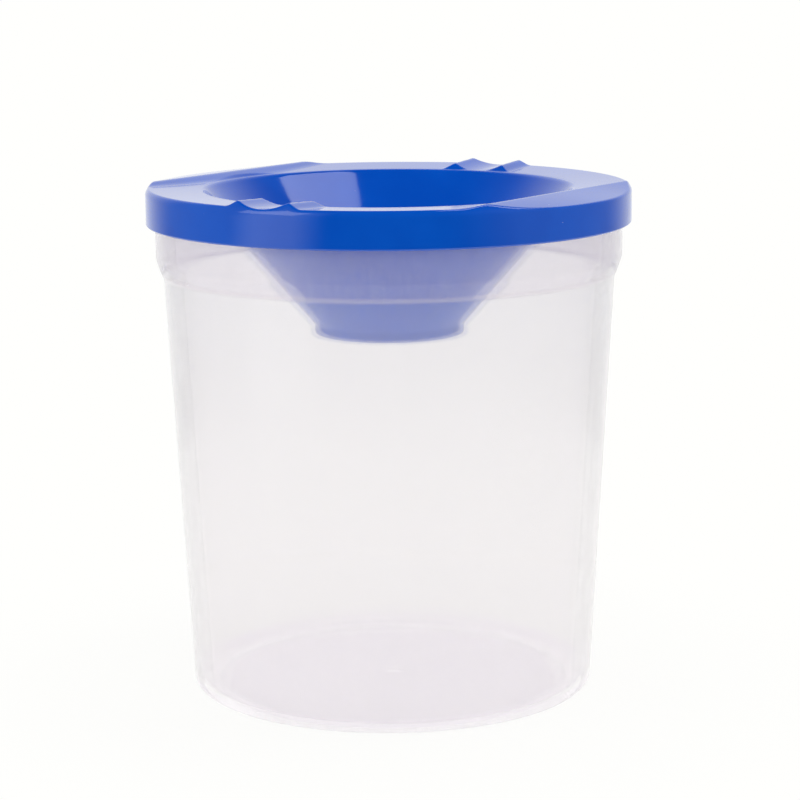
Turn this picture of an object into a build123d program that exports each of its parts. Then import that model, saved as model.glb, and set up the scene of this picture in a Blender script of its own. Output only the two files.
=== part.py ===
from build123d import *

import os
from math import atan, degrees, hypot, sqrt

# Paint cup with a press-on lid. Millimetres, +Z up, the origin on the table at the middle of the foot.
# The front of the cup faces -Y. Both pieces are single mouldings: the cup is turned about Z, and the lid
# is turned about Z too, with four brush rests raised on its plate.

# Sizes of the cup
cup_height = 82.8
base_radius = 33.45
base_rounding = 1.5
foot_width = 2.6
foot_height = 0.5
foot_rounding = 0.2
gate_radius = 1.4
gate_height = 0.25
floor_thickness = 0.9
floor_rounding = 1.3
body_wall = 1.0
collar_height = 13.1
collar_step = 1.2
collar_wall = 1.15
ledge_width = 0.25
shoulder_height = 2.7
shoulder_rounding = 2.0
rim_bead_width = 0.15
rim_bead_height = 1.2
rim_rounding = 0.3

# Sizes of the lid
lid_radius = 40.0
plate_web = 0.45
skirt_depth = 6.1
skirt_wall = 1.05
skirt_chamfer = 0.25
edge_drop = 0.7
edge_lean = 0.44
edge_rounding = 1.2
mouth_setback = 9.6
mouth_dish = 0.47
mouth_rounding = 1.2
funnel_depth = 24.6
funnel_wall = 1.1
hole_radius = 11.0
neck_height = 1.6
neck_rounding = 0.4
bead_drop = 2.4
bead_height = 1.4
seal_depth = 3.2
seal_wall = 1.1
seal_lead = 0.4

# How the lid sits on the cup
skirt_gap = 0.45
bead_clearance = 0.05
seal_clearance = 0.05

# Sizes of the brush rests. Angles are degrees about Z from +X.
narrow_rest_angle = 60.3
narrow_rest_height = 1.0
narrow_rest_dip = 0.15
narrow_half_gap = 4.55
narrow_flank_run = 1.8
wide_rest_angle = -35.6
wide_rest_height = 0.55
front_rest_dip = 0.75
back_rest_dip = 0.15
wide_crest_setback = 7.0
wide_flank_run = 1.5
wide_edge_power = 4
rest_setback = 0.6
wide_half_stations = 7

# One overrun serves every cut and every piece that is trimmed later
overrun = 3.0

# Places that follow from the sizes above
half_turn = 180.0
plate_thickness = plate_web + front_rest_dip
top_height = cup_height + plate_thickness
rest_root_height = cup_height + plate_web / 2
skirt_bottom = top_height - skirt_depth
skirt_inner_radius = lid_radius - skirt_wall
collar_radius = skirt_inner_radius - skirt_gap
collar_inner_radius = collar_radius - collar_wall
body_top_radius = collar_radius - collar_step
ring_height = cup_height - collar_height
shoulder_top = ring_height + shoulder_height
rim_bead_radius = collar_radius + rim_bead_width
bead_radius = rim_bead_radius + bead_clearance
seal_radius = collar_inner_radius - seal_clearance
edge_radius = lid_radius - edge_lean
mouth_radius = lid_radius - mouth_setback
wide_crest_reach = lid_radius - wide_crest_setback
wide_flank_slope = wide_rest_height / wide_flank_run
wide_crest_height = top_height + wide_rest_height
wide_root_reach = wide_crest_reach - (wide_crest_height - rest_root_height) / wide_flank_slope
wide_last_across = sqrt((lid_radius + overrun) ** 2 - wide_root_reach**2)
trim_radius = hypot(lid_radius + overrun, wide_last_across)
mouth_height = top_height - mouth_dish
funnel_bottom = top_height - funnel_depth
neck_top = funnel_bottom + neck_height
funnel_slope = (mouth_radius - hole_radius) / (mouth_height - neck_top)
funnel_wall_across = funnel_wall * sqrt(1 + funnel_slope**2)
dish_slope = mouth_dish / (edge_radius - mouth_radius)


def turned(*corners):
    """One closed outline of (radius, height, rounding) corners, turned about Z."""
    points = [(radius, 0, height) for radius, height, _ in corners]
    line = FilletPolyline(*points, radius=[rounding for _, _, rounding in corners], close=True)
    return revolve(make_face(line), axis=Axis.Z)


def make_cup():
    """The tub: foot ring, thin floor, tapered wall, step ring, collar and rim."""
    body_slope = (body_top_radius - base_radius) / ring_height
    floor_top = foot_height + floor_thickness
    foot_inner_radius = base_radius - base_rounding - foot_width
    return turned(
        (0, foot_height - gate_height, 0),
        (gate_radius, foot_height - gate_height, 0),
        (gate_radius, foot_height, 0),
        (foot_inner_radius - foot_height, foot_height, 0),
        (foot_inner_radius, 0, foot_rounding),
        (base_radius, 0, base_rounding),
        (body_top_radius, ring_height, 0),
        (body_top_radius + ledge_width, ring_height, 0),
        (collar_radius, shoulder_top, shoulder_rounding),
        (collar_radius, cup_height - rim_bead_height, 0),
        (rim_bead_radius, cup_height - rim_bead_height / 2, 0),
        (rim_bead_radius, cup_height, rim_rounding),
        (collar_inner_radius, cup_height, rim_rounding),
        (collar_inner_radius, shoulder_top, shoulder_rounding),
        (body_top_radius - body_wall, ring_height, shoulder_rounding),
        (base_radius + body_slope * floor_top - body_wall, floor_top, floor_rounding),
        (0, floor_top, 0),
    )


def make_lid_shell():
    """The lid without its rests: plate, skirt with its snap bead, seal ring, and funnel with its neck."""
    outside = lid_radius + overrun
    cone_top_radius = mouth_radius + funnel_wall_across + funnel_slope * (cup_height - mouth_height)
    cone_foot_radius = hole_radius + funnel_wall_across
    bead_middle = cup_height - bead_drop - bead_height / 2
    seal_bottom = cup_height - seal_depth
    return turned(
        (hole_radius, funnel_bottom, neck_rounding),
        (cone_foot_radius, funnel_bottom, neck_rounding),
        (cone_foot_radius, neck_top, 0),
        (cone_top_radius, cup_height, 0),
        (seal_radius - seal_wall, cup_height, 0),
        (seal_radius - seal_wall, seal_bottom, 0),
        (seal_radius - seal_lead, seal_bottom, 0),
        (seal_radius, seal_bottom + seal_lead, 0),
        (seal_radius, cup_height, 0),
        (skirt_inner_radius, cup_height, 0),
        (skirt_inner_radius, bead_middle + bead_height / 2, 0),
        (bead_radius, bead_middle, 0),
        (skirt_inner_radius, bead_middle - bead_height / 2, 0),
        (skirt_inner_radius, skirt_bottom, 0),
        (outside, skirt_bottom, 0),
        (outside, top_height, 0),
        (edge_radius, top_height, 0),
        (mouth_radius, mouth_height, mouth_rounding),
        (hole_radius, neck_top, 0),
    )


def make_outer_trim():
    """The ring outside the lid: the skirt's wall and lower edge, and the top edge that leans in. It reaches past
    the farthest corner of a wide rest."""
    lean = edge_lean / edge_drop
    return turned(
        (lid_radius - skirt_chamfer, skirt_bottom - overrun, 0),
        (lid_radius - skirt_chamfer, skirt_bottom, 0),
        (lid_radius, skirt_bottom + skirt_chamfer, 0),
        (lid_radius, top_height - edge_drop, edge_rounding),
        (edge_radius - lean * overrun, top_height + overrun, 0),
        (trim_radius, top_height + overrun, 0),
        (trim_radius, skirt_bottom - overrun, 0),
    )


def make_mouth_trim():
    """The funnel's cone carried up past the plate, set back so that the rests end outside the mouth."""
    low = mouth_height - overrun
    high = mouth_height + overrun
    foot = mouth_radius + rest_setback
    return turned(
        (0, low, 0),
        (foot - funnel_slope * overrun, low, 0),
        (foot + funnel_slope * overrun, high, 0),
        (0, high, 0),
    )


def make_narrow_rest():
    """Two ridges along +X that follow the dished plate, and the round trough to cut between them."""
    root = rest_root_height - top_height
    flank = narrow_flank_run / narrow_rest_height
    root_half_width = narrow_half_gap + flank * (narrow_rest_height - root)
    length = lid_radius + overrun - mouth_radius
    start = Plane(origin=(mouth_radius, 0, top_height), x_dir=(0, 1, 0), z_dir=(1, 0, 0))
    outline = Polyline(
        (-root_half_width, root),
        (root_half_width, root),
        (narrow_half_gap, narrow_rest_height),
        (-narrow_half_gap, narrow_rest_height),
        close=True,
    )
    ridges = extrude(start * make_face(outline), amount=length)
    depth = narrow_rest_height + narrow_rest_dip
    trough_radius = (narrow_half_gap**2 + depth**2) / (2 * depth)
    trough = start * Pos(0, trough_radius - narrow_rest_dip, -overrun) * Cylinder(
        trough_radius, length + 2 * overrun, align=(Align.CENTER, Align.CENTER, Align.MIN)
    )
    tilt_axis = Axis((edge_radius, 0, top_height), (0, 1, 0))
    tilt = -degrees(atan(dish_slope))
    return ridges.rotate(tilt_axis, tilt), trough.rotate(tilt_axis, tilt)


def wide_section(across, ear_across, dip):
    """The wide rest cut square to its crest, that far across from the middle of the crest."""
    edge_reach = sqrt(max(lid_radius**2 - across**2, wide_crest_reach**2))
    rise = min(1, abs(across) / ear_across) ** wide_edge_power
    fall = (wide_rest_height + dip) * (1 - rise)
    slope = fall / max(edge_reach - wide_crest_reach, edge_lean)
    far = edge_reach + overrun / 4
    corners = (
        (wide_root_reach, across, rest_root_height),
        (wide_crest_reach, across, wide_crest_height),
        (far, across, wide_crest_height - slope * (far - wide_crest_reach)),
        (far, across, rest_root_height),
    )
    return make_face(Polyline(*corners, close=True))


def make_wide_rest(dip):
    """A straight level crest across the plate at +X, from which a face falls to a dip in the lid's edge."""
    ear_across = sqrt(edge_radius**2 - wide_crest_reach**2)
    steps = range(-wide_half_stations, wide_half_stations + 1)
    inner_places = [ear_across * step / wide_half_stations for step in steps]
    places = [-wide_last_across, *inner_places, wide_last_across]
    return loft([wide_section(place, ear_across, dip) for place in places], ruled=True)


def make_wide_seat():
    """The part of the plate outside a wide rest's crest, which makes room for the falling face."""
    reach = lid_radius + 2 * overrun - wide_crest_reach
    height = wide_rest_height + top_height - rest_root_height
    return Pos(wide_crest_reach, 0, rest_root_height) * Box(
        reach, 2 * lid_radius, height, align=(Align.MIN, Align.CENTER, Align.MIN)
    )


def make_lid():
    """The shell with each kind of rest set at opposite sides of the plate, trimmed to the lid's edge."""
    seat = make_wide_seat()
    ridges, trough = make_narrow_rest()
    mouth = make_mouth_trim()
    lid = make_lid_shell()
    for copy, dip in enumerate((front_rest_dip, back_rest_dip)):
        turn = half_turn * copy
        wide = make_wide_rest(dip)
        at_wide = Rot(0, 0, wide_rest_angle + turn)
        at_narrow = Rot(0, 0, narrow_rest_angle + turn)
        lid = lid - at_wide * seat + (at_wide * wide - mouth)
        lid = lid + (at_narrow * ridges - mouth) - at_narrow * trough
    return lid - make_outer_trim()


def main():
    os.makedirs("parts", exist_ok=True)
    export_step(make_cup(), "parts/cup.step")
    export_step(make_lid(), "parts/lid.step")


main()
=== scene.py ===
from math import atan2, cos, pi, radians, sin, tan

import bpy
import numpy as np
from mathutils import Matrix, Vector


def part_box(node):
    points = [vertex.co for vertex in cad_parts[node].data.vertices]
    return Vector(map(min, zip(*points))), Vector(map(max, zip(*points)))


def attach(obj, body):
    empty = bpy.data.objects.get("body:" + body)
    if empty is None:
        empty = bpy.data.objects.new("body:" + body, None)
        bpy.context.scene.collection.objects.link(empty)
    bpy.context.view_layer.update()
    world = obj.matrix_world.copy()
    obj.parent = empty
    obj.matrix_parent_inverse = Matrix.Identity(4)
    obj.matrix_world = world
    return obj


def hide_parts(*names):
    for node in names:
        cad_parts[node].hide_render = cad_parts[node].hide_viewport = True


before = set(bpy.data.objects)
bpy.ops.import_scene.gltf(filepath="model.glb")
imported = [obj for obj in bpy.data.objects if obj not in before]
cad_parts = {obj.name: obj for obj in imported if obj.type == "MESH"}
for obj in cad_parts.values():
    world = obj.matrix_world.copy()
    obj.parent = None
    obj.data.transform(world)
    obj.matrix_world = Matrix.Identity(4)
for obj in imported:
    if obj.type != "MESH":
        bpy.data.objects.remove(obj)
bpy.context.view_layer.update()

mm = 0.001


# Cup
# The tub that holds the paint: one thin moulding in frosted, see-through plastic, with a foot ring, a
# tapered wall, a ledge where the wider collar starts, and a rolled rim. The lid presses over the collar.

_, cup_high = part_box("cup")
cup_height = cup_high.z
rim_bead_radius = cup_high.x
_, lid_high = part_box("lid")
lid_radius = lid_high.x

skirt_wall = 1.05 * mm
skirt_gap = 0.45 * mm
base_radius = 33.45 * mm
base_rounding = 1.5 * mm
foot_width = 2.6 * mm
foot_height = 0.5 * mm
foot_rounding = 0.2 * mm
gate_radius = 1.4 * mm
gate_height = 0.25 * mm
gate_rounding = 0.12 * mm
floor_thickness = 0.9 * mm
floor_rounding = 1.3 * mm
body_wall = 1.0 * mm
collar_height = 13.1 * mm
collar_step = 1.2 * mm
collar_wall = 1.15 * mm
ledge_width = 0.25 * mm
ledge_rounding = 0.06 * mm
shoulder_height = 2.7 * mm
shoulder_rounding = 2.0 * mm
rim_bead_height = 1.2 * mm
rim_rounding = 0.3 * mm
rim_play = 0.04 * mm
edge_softening = 0.1 * mm

collar_radius = lid_radius - skirt_wall - skirt_gap
collar_inner_radius = collar_radius - collar_wall
body_top_radius = collar_radius - collar_step
ring_height = cup_height - collar_height
shoulder_top = ring_height + shoulder_height
floor_top = foot_height + floor_thickness

cup_columns = 480
longest_step = 2.2 * mm
arc_step = radians(15)
spare_points = 3
fewest_arc_points = 3


def rounded_line(corners, arc=arc_step, step=longest_step, spare=spare_points):
    """A line through (radius, height, rounding) corners. Each corner gives way to an arc of its rounding that
    touches both runs, and the points of a run crowd towards its ends as a cosine does."""
    places = np.array([corner[:2] for corner in corners])
    before = np.roll(places, 1, axis=0) - places
    after = np.roll(places, -1, axis=0) - places
    pieces = []
    for place, back, ahead, rounding in zip(places, before, after, [corner[2] for corner in corners]):
        if rounding == 0:
            pieces.append(place[None, :])
            continue
        back = back / np.hypot(*back)
        ahead = ahead / np.hypot(*ahead)
        turn = pi - np.arccos(np.clip(back @ ahead, -1, 1))
        reach = rounding * tan(turn / 2)
        centre = place + (back + ahead) / np.hypot(*(back + ahead)) * np.hypot(rounding, reach)
        start = place + back * reach - centre
        end = place + ahead * reach - centre
        share = np.linspace(0, 1, max(fewest_arc_points, int(np.ceil(turn / arc)) + 1))[:, None]
        pieces.append(centre + (np.sin((1 - share) * turn) * start + np.sin(share * turn) * end) / sin(turn))
    line = [pieces[0]]
    for piece in pieces[1:]:
        run = np.hypot(*(piece[0] - line[-1][-1]))
        count = int(np.ceil(run / step)) + spare
        share = (1 - np.cos(np.linspace(0, pi, count)[1:-1])) / 2
        line.append(line[-1][-1] + share[:, None] * (piece[0] - line[-1][-1]))
        line.append(piece)
    points = np.concatenate(line)
    return points[:, 0], points[:, 1]


def grid_mesh(name, radius, height, poles):
    """A surface on a grid whose columns run once round Z: each row of radii and heights is a ring. With poles,
    the first and the last ring are points on the axis. Without, the last ring joins the first."""
    rows, columns = radius.shape
    angle = np.linspace(0, 2 * pi, columns, endpoint=False)
    points = np.stack([radius * np.cos(angle), radius * np.sin(angle), height], axis=-1)
    row = np.arange(rows - 1 if poles else rows)[:, None]
    column = np.arange(columns)[None, :]
    ring = row * columns
    next_ring = (row + 1) % rows * columns
    next_column = (column + 1) % columns
    quads = np.stack([ring + column, ring + next_column, next_ring + next_column, next_ring + column], -1)
    quads = quads.reshape(-1, 4)
    points = points.reshape(-1, 3)
    faces = quads.tolist()
    if poles:
        ends = np.array([[0, 0, height[0, 0]], [0, 0, height[-1, 0]]])
        inner = quads[columns:-columns] - columns + 2
        points = np.concatenate([ends, points[columns:-columns]])
        first = np.arange(columns) + 2
        last = first + (rows - 3) * columns
        start = np.stack([np.zeros(columns, int), np.roll(first, -1), first], -1)
        finish = np.stack([np.ones(columns, int), last, np.roll(last, -1)], -1)
        faces = inner.tolist() + start.tolist() + finish.tolist()
    mesh = bpy.data.meshes.new(name)
    mesh.from_pydata(points.tolist(), [], faces)
    mesh.polygons.foreach_set("use_smooth", np.ones(len(mesh.polygons), bool))
    mesh.update()
    piece = bpy.data.objects.new(name, mesh)
    bpy.context.scene.collection.objects.link(piece)
    return piece


class Wire:
    """A node's output as a value. Python's operators on it add Math nodes to its tree."""

    def __init__(self, tree, socket):
        self.tree = tree
        self.socket = socket

    def add(self, kind, settings=None, output=0, **inputs):
        """Adds a node of that kind: first its settings, then the values or links of its sockets."""
        node = self.tree.nodes.new(kind)
        for name, value in (settings or {}).items():
            setattr(node, name, value)
        wire = Wire(self.tree, node.outputs[output])
        wire.feed(**inputs)
        return wire

    def feed(self, **inputs):
        """Gives this value's own node its inputs, by number (i0, i1) or by name with _ for a space."""
        for name, value in inputs.items():
            place = int(name[1:]) if name[1:].isdigit() else name.replace("_", " ")
            socket = self.socket.node.inputs[place]
            if isinstance(value, Wire):
                self.tree.links.new(value.socket, socket)
            else:
                socket.default_value = value

    def other(self, output):
        """Another output of the same node."""
        return Wire(self.tree, self.socket.node.outputs[output])

    def axes(self):
        """The three numbers of a vector."""
        parts = self.add("ShaderNodeSeparateXYZ", Vector=self)
        return parts, parts.other("Y"), parts.other("Z")

    def maths(self, operation, first, second):
        """A Math node of that operation on two values."""
        return self.add("ShaderNodeMath", {"operation": operation}, i0=first, i1=second)

    def __add__(self, other):
        return self.maths("ADD", self, other)

    def __radd__(self, other):
        return self.maths("ADD", other, self)

    def __sub__(self, other):
        return self.maths("SUBTRACT", self, other)

    def __rsub__(self, other):
        return self.maths("SUBTRACT", other, self)

    def __mul__(self, other):
        return self.maths("MULTIPLY", self, other)

    def __rmul__(self, other):
        return self.maths("MULTIPLY", other, self)

    def __truediv__(self, other):
        return self.maths("DIVIDE", self, other)

    def __pow__(self, other):
        return self.maths("POWER", self, other)

    def between(self, low, high):
        """0 at low, 1 at high and a smooth step in between."""
        smooth = {"interpolation_type": "SMOOTHSTEP"}
        return self.add("ShaderNodeMapRange", smooth, Value=self, From_Min=low, From_Max=high)

    def blend(self, first, second):
        """A colour that goes from the first to the second as this value goes from 0 to 1."""
        mix = {"data_type": "RGBA", "clamp_factor": True}
        return self.add("ShaderNodeMix", mix, output=2, i0=self, i6=first, i7=second)


def new_material(name):
    """An empty material and its Principled shader."""
    material = bpy.data.materials.new(name)
    material.use_nodes = True
    return material, Wire(material.node_tree, material.node_tree.nodes["Principled BSDF"].outputs[0])


def place_on(shader):
    """Where a point lies on its piece, as a vector and as its three numbers."""
    place = shader.add("ShaderNodeTexCoord", output="Object")
    return place, *place.axes()


def unrolled(shader, x, y, z):
    """Where a point lies on the wall laid flat: its angle round Z, and its height."""
    return shader.add("ShaderNodeCombineXYZ", X=shader.maths("ARCTAN2", y, x), Y=z)


def noise(place, stretch, scale, detail=3.0, roughness=0.5):
    """Noise from 0 to 1 at a place that is first stretched along each axis."""
    stretched = place.add("ShaderNodeMapping", Vector=place, Scale=stretch)
    texture = {"Scale": scale, "Detail": detail, "Roughness": roughness}
    return place.add("ShaderNodeTexNoise", Vector=stretched, **texture)


# Where the cup's frost and tints start and end, as heights over the table. The tints are painted shade: on the
# collar under the lid and on the cup's floor.
collar_blur = 0.4 * mm
ledge_low = ring_height - 0.5 * mm
ledge_high = ring_height + 0.2 * mm
ledge_end = ring_height + 0.8 * mm
body_haze_full = 60 * mm
body_haze_end = 76 * mm
floor_shade_full = 1.9 * mm
floor_shade_end = 2.3 * mm

# The patterns in the cup's plastic
even_stretch = (1, 1, 1)
streak_stretch = (26, 40, 1)
cup_cloud_scale = 60
streak_scale = 5
grain_scale = 2600
noise_middle = 0.5

# The roughness of the cup low on its wall, and what adds to it
least_frost = 0.16
frost_of_rise = 0.05
frost_of_clouds = 0.05
frost_of_streaks = 0.05

# The share of light that doesn't go straight through the cup where its wall faces the eye, and what adds to it
least_cover = 0.34
cover_of_body = 0.13
cover_of_collar = 0.04
cover_of_streaks = 0.14
cover_of_edge = 0.3
cover_of_ledge = 0.3
edge_blend = 0.35

# How deep the patterns are in the cup's surface
relief_of_streaks = 0.25
relief_of_grain = 0.2
relief_of_clouds = 0.3
cup_relief = 0.07
bump_reach = 0.1 * mm

# The cup's colours, and the noise between which one goes over into the next
wall_pale = (0.99, 0.965, 0.972, 1)
wall_deep = (0.985, 0.96, 0.97, 1)
wall_turns = (0.35, 0.7)
# The collar's colours are painted shade from the lid's skirt over it, deep and pale along the collar's real
# streaks
collar_painted_shade_deep = (0.87, 0.8, 0.86, 1)
collar_painted_shade_pale = (0.96, 0.92, 0.95, 1)
collar_turns = (0.3, 0.7)
# A lilac painted shade on the cup's floor, for the shadow the floor sits in
floor_painted_shade_lilac = (0.97, 0.89, 0.98, 1)


def cup_plastic():
    """Frosted plastic. Its roughness grows a little with height and varies with clouds and streaks. Its cover
    is the share of light that doesn't go straight through: more down the body, in the collar's streaks, at the
    ledge, and where the wall is seen edge-on."""
    material, shader = new_material("frosted_plastic")
    place, x, y, z = place_on(shader)

    clouds = noise(place, even_stretch, cup_cloud_scale, detail=4)
    streaks = noise(unrolled(shader, x, y, z), streak_stretch, streak_scale, detail=4, roughness=0.65)
    grain = noise(place, even_stretch, grain_scale, detail=2)
    collar = z.between(ring_height - collar_blur, ring_height + collar_blur)
    rise = z.between(0.0, cup_height)
    frost = least_frost + frost_of_rise * rise + frost_of_clouds * (clouds - noise_middle)
    frost = frost + frost_of_streaks * collar * (streaks - noise_middle)

    edge_on = shader.add("ShaderNodeLayerWeight", output="Facing", Blend=edge_blend)
    ledge = z.between(ledge_low, ring_height) * (1 - z.between(ledge_high, ledge_end))
    body = 1 - z.between(body_haze_full, body_haze_end)
    cover = least_cover + cover_of_body * body + cover_of_collar * collar + cover_of_streaks * collar * streaks
    cover = cover + cover_of_edge * edge_on * edge_on + cover_of_ledge * ledge

    # The cup's floor, up to this height, is painted lilac: painted shade for the shadow under it
    floor = 1 - z.between(floor_shade_full, floor_shade_end)
    wall_colour = clouds.between(*wall_turns).blend(wall_pale, wall_deep)
    # The collar is painted darker for the shade under the lid's skirt, and its real streaks vary that painted
    # shade
    collar_streaks_and_painted_shade = streaks.between(*collar_turns).blend(collar_painted_shade_deep, collar_painted_shade_pale)
    colour = floor.blend(collar.blend(wall_colour, collar_streaks_and_painted_shade), floor_painted_shade_lilac)

    height = streaks * collar * relief_of_streaks + grain * relief_of_grain + clouds * relief_of_clouds
    bump = shader.add("ShaderNodeBump", Strength=cup_relief, Distance=bump_reach, Height=height)
    shader.feed(Base_Color=colour, Roughness=frost, Alpha=cover, Normal=bump)
    shader.feed(Transmission_Weight=0.7, IOR=1.06, Coat_Weight=0.7, Coat_Roughness=0.14, Coat_IOR=1.5)
    return material


def cup_profile():
    """From the gate mark under the floor, round the foot, up the outside, over the rim and down the inside."""
    body_slope = (body_top_radius - base_radius) / ring_height
    foot_inner_radius = base_radius - base_rounding - foot_width
    rim_top = cup_height - rim_play
    return rounded_line([
        (0, foot_height - gate_height, 0),
        (gate_radius, foot_height - gate_height, gate_rounding),
        (gate_radius, foot_height, gate_rounding / 2),
        (foot_inner_radius - foot_height, foot_height, foot_rounding),
        (foot_inner_radius, 0, foot_rounding),
        (base_radius, 0, base_rounding),
        (body_top_radius, ring_height, ledge_rounding),
        (body_top_radius + ledge_width, ring_height, ledge_rounding),
        (collar_radius, shoulder_top, shoulder_rounding),
        (collar_radius, cup_height - rim_bead_height, edge_softening),
        (rim_bead_radius, cup_height - rim_bead_height / 2, edge_softening),
        (rim_bead_radius, rim_top, rim_rounding),
        (collar_inner_radius, rim_top, rim_rounding),
        (collar_inner_radius, shoulder_top, shoulder_rounding),
        (body_top_radius - body_wall, ring_height, shoulder_rounding),
        (base_radius + body_slope * floor_top - body_wall, floor_top, floor_rounding),
        (0, floor_top, 0),
    ])


def turned_piece(name, radius, height, columns):
    """A profile from axis to axis, turned round Z: each of its points becomes a level ring."""
    shape = (len(radius), columns)
    radii = np.broadcast_to(radius[:, None], shape)
    heights = np.broadcast_to(height[:, None], shape)
    return grid_mesh(name, radii, heights, True)


cup = turned_piece("cup_tub", *cup_profile(), cup_columns)
cup.data.materials.append(cup_plastic())
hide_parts("cup")
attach(cup, "cup")


# Lid
# The glossy blue cover: one moulding with a dished plate, a skirt that presses over the cup's collar, an
# open funnel that lets spilt paint run back, and four raised brush rests, two wide and two narrow.

plate_web = 0.45 * mm
skirt_depth = 6.1 * mm
skirt_chamfer = 0.25 * mm
skirt_edge_rounding = 0.12 * mm
edge_drop = 0.7 * mm
edge_lean = 0.44 * mm
edge_rounding = 1.2 * mm
mouth_setback = 9.6 * mm
mouth_dish = 0.47 * mm
mouth_rounding = 1.2 * mm
funnel_depth = 24.6 * mm
funnel_wall = 1.1 * mm
hole_radius = 11.0 * mm
neck_height = 1.6 * mm
neck_rounding = 0.4 * mm
bead_drop = 2.4 * mm
bead_height = 1.4 * mm
seal_depth = 3.2 * mm
seal_wall = 1.1 * mm
seal_lead = 0.4 * mm
bead_clearance = 0.05 * mm
seal_clearance = 0.05 * mm

# The brush rests. Angles are degrees about Z from +X.
half_turn = 180
narrow_rest_angle = 60.3
narrow_rest_height = 1.0 * mm
narrow_rest_dip = 0.15 * mm
narrow_half_gap = 4.55 * mm
narrow_flank_run = 1.8 * mm
flank_runs_kept = 3
wide_rest_angle = -35.6
wide_rest_height = 0.55 * mm
front_rest_dip = 0.75 * mm
back_rest_dip = 0.15 * mm
wide_crest_setback = 7.0 * mm
wide_flank_run = 1.5 * mm
wide_edge_power = 4
rest_setback = 0.6 * mm
crest_softening = 0.28 * mm
foot_softening = 0.3 * mm
lip_softening = 0.3 * mm

plate_thickness = plate_web + front_rest_dip
top_height = cup_height + plate_thickness
skirt_bottom = top_height - skirt_depth
skirt_inner_radius = lid_radius - skirt_wall
bead_radius = rim_bead_radius + bead_clearance
seal_radius = collar_inner_radius - seal_clearance
edge_radius = lid_radius - edge_lean
mouth_radius = lid_radius - mouth_setback
wide_crest_reach = lid_radius - wide_crest_setback
mouth_height = top_height - mouth_dish
funnel_bottom = top_height - funnel_depth
neck_top = funnel_bottom + neck_height
funnel_slope = (mouth_radius - hole_radius) / (mouth_height - neck_top)
funnel_wall_across = funnel_wall * np.sqrt(1 + funnel_slope**2)
dish_slope = mouth_dish / (edge_radius - mouth_radius)
ear_across = np.sqrt(edge_radius**2 - wide_crest_reach**2)

lid_columns = 600
hidden_arc = radians(45)
hidden_step = 8 * mm
hidden_spare_points = 2
plate_rows = 44
lip_rows = 6
edge_rows = 6
edge_search_steps = 24
funnel_end_play = 0.01 * mm


def lower(first, second, softening):
    """The lower of two heights, rounded over where they differ by less than the softening."""
    near = np.maximum(softening - np.abs(first - second), 0) / softening
    return np.minimum(first, second) - near**2 * softening / 4


def higher(first, second, softening):
    """The higher of two heights, rounded in where they differ by less than the softening."""
    return -lower(-first, -second, softening)


def top_surface(radius, angle):
    """The height of the lid's top: a plate that dishes towards the mouth. A wide rest is a slope that rises
    to a straight crest and a face that falls from it to the lid's edge, least at its ears. A narrow rest is a
    round trough between two ridges. All of them stop at the funnel's cone, carried up past the plate."""
    plate = top_height - dish_slope * (edge_radius - radius)
    cone = mouth_height + (radius - mouth_radius - rest_setback) / funnel_slope
    limit = higher(plate, cone, foot_softening)
    height = plate
    for turn, dip in ((0, front_rest_dip), (half_turn, back_rest_dip)):
        towards = angle - radians(wide_rest_angle + turn)
        along = radius * np.cos(towards)
        across = np.abs(radius * np.sin(towards))
        crest = top_height + wide_rest_height
        rising = crest - (wide_crest_reach - along) * wide_rest_height / wide_flank_run
        edge_reach = np.sqrt(np.maximum(lid_radius**2 - across**2, wide_crest_reach**2))
        rise = np.minimum(1, across / ear_across) ** wide_edge_power
        fall = (wide_rest_height + dip) * (1 - rise)
        run = np.maximum(edge_reach - wide_crest_reach, edge_lean)
        falling = crest - fall * (along - wide_crest_reach) / run
        rest = lower(higher(plate, rising, foot_softening), falling, crest_softening)
        height = np.where(along > 0, lower(rest, limit, foot_softening), height)
    depth = narrow_rest_height + narrow_rest_dip
    trough_radius = (narrow_half_gap**2 + depth**2) / (2 * depth)
    for turn in (0, half_turn):
        towards = angle - radians(narrow_rest_angle + turn)
        across = np.abs(radius * np.sin(towards))
        flank = narrow_rest_height - (across - narrow_half_gap) * narrow_rest_height / narrow_flank_run
        inside = np.sqrt(np.maximum(trough_radius**2 - across**2, 0))
        trough = trough_radius - narrow_rest_dip - inside
        ridge = lower(higher(flank, 0, foot_softening), trough, crest_softening)
        reaches = (np.cos(towards) > 0) & (across < narrow_half_gap + flank_runs_kept * narrow_flank_run)
        height = np.where(reaches, lower(plate + ridge, limit, foot_softening), height)
    return height


def side_radius(height):
    """The radius of the lid's side: upright, then an arc, then a line that leans in."""
    lean = atan2(edge_lean, edge_drop)
    arc_low = top_height - edge_drop - edge_rounding * tan(lean / 2)
    up_arc = np.clip(height - arc_low, 0, edge_rounding * sin(lean))
    on_arc = lid_radius - edge_rounding + np.sqrt(edge_rounding**2 - up_arc**2)
    past_arc = np.maximum(height - arc_low - edge_rounding * sin(lean), 0)
    return on_arc - past_arc * edge_lean / edge_drop


def bent(first, corner, last, rows):
    """Rows from the first to the last point that bend round the corner as a parabola does."""
    share = np.linspace(0, 1, rows + 2)[1:-1, None]
    return first * (1 - share) ** 2 + corner * 2 * share * (1 - share) + last * share**2


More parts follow.
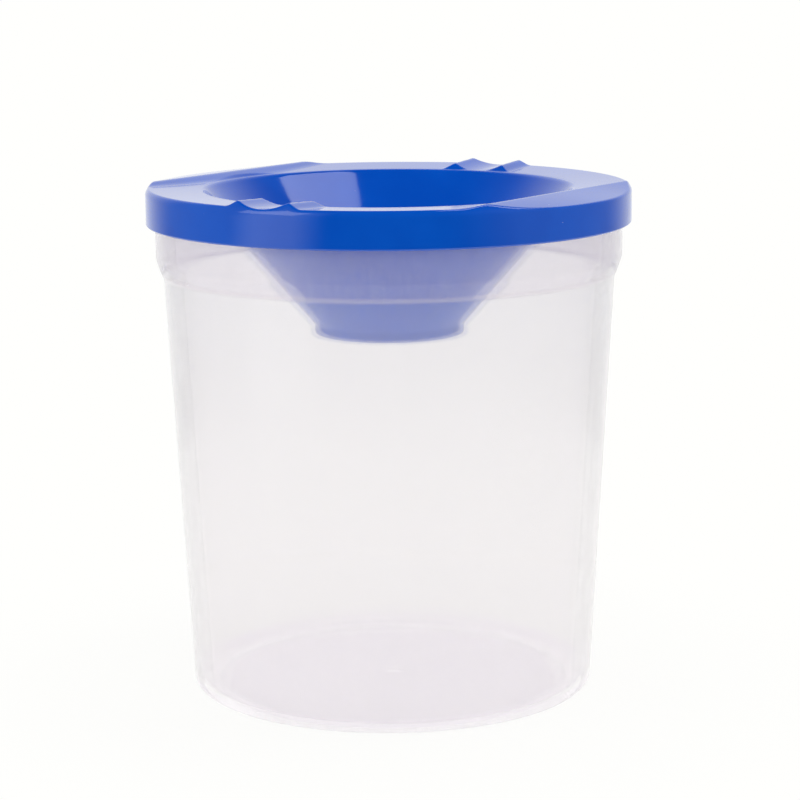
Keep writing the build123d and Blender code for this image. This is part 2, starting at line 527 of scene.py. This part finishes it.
def lid_rings():
    """Rings of radii and heights all round the lid's section: up the funnel, out across the top surface, over
    the lip, down the side, in under the skirt, and back along the hidden side to the funnel's foot."""
    angle = np.linspace(0, 2 * pi, lid_columns, endpoint=False)[None, :]
    even = np.ones_like(angle)
    turn = pi / 2 - atan2(funnel_slope, 1) - atan2(dish_slope, 1)
    arc_reach = mouth_rounding * tan(turn / 2)
    plate_start = mouth_radius + arc_reach * cos(atan2(dish_slope, 1))
    funnel = rounded_line([
        (hole_radius, funnel_bottom + neck_rounding, 0),
        (hole_radius, neck_top, neck_rounding),
        (mouth_radius, mouth_height, mouth_rounding),
        (edge_radius, top_height, 0),
    ])
    inside = funnel[0] < plate_start + funnel_end_play
    funnel_radius = funnel[0][inside, None] * even
    funnel_height = funnel[1][inside, None] * even

    edge = edge_radius * even
    for _ in range(edge_search_steps):
        edge = side_radius(top_surface(edge, angle))
    edge_height = top_surface(edge, angle)
    share = np.linspace(0, 1, plate_rows + 1)[1:, None]
    plate_radius = plate_start + (edge - lip_softening - plate_start) * share
    plate_height = top_surface(plate_radius, angle)

    below = edge_height - lip_softening
    lip_radius = bent(plate_radius[-1:], edge, side_radius(below), lip_rows)
    lip_height = bent(plate_height[-1:], edge_height, below, lip_rows)
    side_low = top_height - edge_drop - edge_rounding
    share = np.linspace(0, 1, edge_rows)[:, None]
    side_height = below + (side_low - below) * share

    cone_top_radius = mouth_radius + funnel_wall_across + funnel_slope * (cup_height - mouth_height)
    cone_foot_radius = hole_radius + funnel_wall_across
    bead_middle = cup_height - bead_drop - bead_height / 2
    seal_bottom = cup_height - seal_depth
    hidden = rounded_line([
        (lid_radius, side_low - edge_softening, 0),
        (lid_radius, skirt_bottom + skirt_chamfer, skirt_edge_rounding),
        (lid_radius - skirt_chamfer, skirt_bottom, skirt_edge_rounding),
        (skirt_inner_radius, skirt_bottom, skirt_edge_rounding),
        (skirt_inner_radius, bead_middle - bead_height / 2, edge_softening),
        (bead_radius, bead_middle, edge_softening),
        (skirt_inner_radius, bead_middle + bead_height / 2, edge_softening),
        (skirt_inner_radius, cup_height, edge_softening),
        (seal_radius, cup_height, edge_softening),
        (seal_radius, seal_bottom + seal_lead, edge_softening),
        (seal_radius - seal_lead, seal_bottom, edge_softening),
        (seal_radius - seal_wall, seal_bottom, edge_softening),
        (seal_radius - seal_wall, cup_height, edge_softening),
        (cone_top_radius, cup_height, edge_softening),
        (cone_foot_radius, neck_top, neck_rounding),
        (cone_foot_radius, funnel_bottom, neck_rounding),
        (hole_radius, funnel_bottom, neck_rounding),
        (hole_radius, funnel_bottom + neck_rounding, 0),
    ], hidden_arc, hidden_step, hidden_spare_points)
    radii = [funnel_radius, plate_radius, lip_radius, side_radius(side_height), hidden[0][:-1, None] * even]
    heights = [funnel_height, plate_height, lip_height, side_height, hidden[1][:-1, None] * even]
    return np.concatenate(radii), np.concatenate(heights)


# The patterns in the lid's plastic, and the noise between which dust appears in specks and in clouds
lid_cloud_scale = 90
flow_stretch = (3, 900, 1)
flow_scale = 1
speck_scale = 1400
dust_in_specks = (0.79, 0.83)
dust_in_clouds = (0.5, 0.62)

# The lid's roughness and what adds to it, and how deep the patterns are in its surface
lid_frost = 0.05
lid_frost_of_clouds = 0.03
lid_frost_of_flow = 0.03
lid_frost_of_dust = 0.4
lid_relief_of_flow = 0.5
lid_relief_of_clouds = 0.5
lid_relief = 0.08

# The lid's colours
blue = (0.0008, 0.082, 0.55, 1)
light_blue = (0.0012, 0.096, 0.6, 1)
blue_turns = (0.3, 0.75)
dust_grey = (0.75, 0.78, 0.85, 1)
dust_weight = 0.7


def lid_plastic():
    """Glossy plastic, dyed through, with faint flow lines round it and specks of dust."""
    material, shader = new_material("blue_plastic")
    place, x, y, z = place_on(shader)

    clouds = noise(place, even_stretch, lid_cloud_scale, detail=3)
    flow = noise(unrolled(shader, x, y, z), flow_stretch, flow_scale, detail=4, roughness=0.6)
    specks = noise(place, even_stretch, speck_scale, detail=1)
    dust = specks.between(*dust_in_specks) * clouds.between(*dust_in_clouds)
    frost = lid_frost + lid_frost_of_clouds * clouds + lid_frost_of_flow * flow + lid_frost_of_dust * dust

    dyed = clouds.between(*blue_turns).blend(blue, light_blue)
    colour = (dust * dust_weight).blend(dyed, dust_grey)

    height = flow * lid_relief_of_flow + clouds * lid_relief_of_clouds
    bump = shader.add("ShaderNodeBump", Strength=lid_relief, Distance=bump_reach, Height=height)
    shader.feed(Base_Color=colour, Roughness=frost, Normal=bump, IOR=1.55)
    return material


lid = grid_mesh("lid_cover", *lid_rings(), False)
lid.data.materials.append(lid_plastic())
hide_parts("lid")
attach(lid, "lid")


# Studio
# A pale floor, a soft white room and two softboxes. Floor and room are white for the camera and through the
# plastic. What shows in gloss is white behind the cup, dim beside it, and dark in front of it and overhead.

def rays(shader):
    """1 for rays that the camera sees straight or through the plastic, and 1 for rays that show in gloss. A ray
    that frosted plastic spreads as it lets it through counts as both kinds, so it is taken out of the gloss."""
    seen = shader.add("ShaderNodeLightPath", output="Is Camera Ray")
    through = seen.other("Is Transmission Ray")
    return seen.maths("MAXIMUM", seen, through), seen.other("Is Glossy Ray") * (1 - through)


# Where the gloss turns pale or dark. How far ahead or to the side a direction points is the cosine of its
# angle from +Y or +X, and how far up is the direction's height.
front_dark_end = -0.93
side_pale = -0.4
back_start = 0.45
back_white = 0.92
patch_start = -0.9
patch_full = -0.7
patch_fading = -0.5
patch_end = -0.2
patch_left = -0.4
patch_right = -0.1
overhead_start = 0.5
overhead_dark = 0.9
side_strength = 0.35
back_strength = 0.65
patch_strength = 0.9
least_length = 0.001


def studio_gloss(x, y, z):
    """What gloss shows in a direction: a dim side, a white back and a pale patch at the left of the front. Each
    is a smooth step of how far ahead the direction points, and all of it fades to dark overhead."""
    length = (x * x + y * y) ** 0.5 + least_length
    ahead = y / length
    side = x / length
    patch = ahead.between(patch_start, patch_full) * (1 - ahead.between(patch_fading, patch_end))
    patch = patch * (1 - side.between(patch_left, patch_right))
    walls = side_strength * ahead.between(front_dark_end, side_pale)
    walls = walls + back_strength * ahead.between(back_start, back_white) + patch_strength * patch
    return walls * (1 - z.between(overhead_start, overhead_dark))


floor_half_width = 3.0
floor_colour = (0.86, 0.86, 0.855, 1)
white = (1.0, 1.0, 0.985, 1)
plain_light = 0.78
gloss_near = 0.18
gloss_far = 0.27
contact_reach = 0.09
contact_shade = 0.06

floor_mesh = bpy.data.meshes.new("studio_floor")
signs = ((-1, -1), (1, -1), (1, 1), (-1, 1))
corners = [(across * floor_half_width, along * floor_half_width, 0) for across, along in signs]
floor_mesh.from_pydata(corners, [], [(0, 1, 2, 3)])
floor = bpy.data.objects.new("studio_floor", floor_mesh)
bpy.context.scene.collection.objects.link(floor)

floor_material, shader = new_material("studio_floor")
_, x, y, z = place_on(shader)
shader.feed(Base_Color=floor_colour, Roughness=0.9, Specular_IOR_Level=0.0)
pure, glossy = rays(shader)
distance = (x * x + y * y) ** 0.5
far = distance.between(base_radius, contact_reach)
near = 1 - distance.between(gloss_near, gloss_far)
white_light = shader.add("ShaderNodeEmission", Color=white, Strength=1.0)
floor_gloss = near.maths("MAXIMUM", near, studio_gloss(x, y, z))
gloss_colour = shader.add("ShaderNodeVectorMath", {"operation": "SCALE"}, i0=white[:3], Scale=floor_gloss)
gloss_light = shader.add("ShaderNodeEmission", Color=gloss_colour, Strength=1.0)
cleared = pure * (1 - contact_shade * (1 - far))
plain = shader.add("ShaderNodeMixShader", i0=cleared, i1=shader, i2=white_light)
mixed = shader.add("ShaderNodeMixShader", i0=glossy, i1=plain, i2=gloss_light)
shader.tree.links.new(mixed.socket, shader.tree.nodes["Material Output"].inputs["Surface"])
floor.data.materials.append(floor_material)

world = bpy.data.worlds.new("studio_room")
bpy.context.scene.world = world
world.use_nodes = True
background = Wire(world.node_tree, world.node_tree.nodes["Background"].outputs[0])
x, y, z = background.add("ShaderNodeTexCoord", output="Generated").axes()
pure, glossy = rays(background)
others = plain_light + glossy * (studio_gloss(x, y, z) - plain_light)
background.feed(Color=white, Strength=pure + (1 - pure) * others)


def softbox(name, place, width, height, radiance):
    """A rectangular lamp that faces the middle of the cup. Its power is radiance times pi times area."""
    lamp = bpy.data.lights.new(name, "AREA")
    lamp.shape = "RECTANGLE"
    lamp.size = width
    lamp.size_y = height
    lamp.energy = radiance * pi * width * height
    holder = bpy.data.objects.new(name, lamp)
    aim = Vector((0, 0, top_height / 2)) - Vector(place)
    holder.matrix_world = Matrix.Translation(place) @ aim.to_track_quat("-Z", "Y").to_matrix().to_4x4()
    holder.visible_camera = False
    bpy.context.scene.collection.objects.link(holder)


softbox("softbox_right", place=(0.36, 0.02, 0.78), width=0.34, height=0.42, radiance=3.0)
softbox("softbox_left", place=(-0.75, -0.45, 0.55), width=0.5, height=0.5, radiance=1.6)


# Camera
# It looks at the front of the cup from a little above the lid, at the photograph's angle.

camera_distance = 432.006 * mm
camera_height = 128 * mm
camera_pitch = 0.1836
camera_roll = -0.0088
focal_pixels = 2624.54
frame_pixels = 800
centre_shift_pixels = -9.695
sensor = 36.0
nearest_seen = 0.01

lens = bpy.data.cameras.new("camera")
lens.sensor_width = sensor
lens.lens = focal_pixels * sensor / frame_pixels
lens.shift_x = -centre_shift_pixels / frame_pixels
lens.clip_start = nearest_seen
lens.dof.use_dof = False
camera = bpy.data.objects.new("camera", lens)
turn_down = Matrix.Rotation(pi / 2 - camera_pitch, 4, "X")
roll = Matrix.Rotation(camera_roll, 4, "Z")
camera.matrix_world = Matrix.Translation((0, -camera_distance, camera_height)) @ turn_down @ roll
bpy.context.scene.collection.objects.link(camera)
bpy.context.scene.camera = camera
bpy.context.scene.view_settings.view_transform = "Standard"
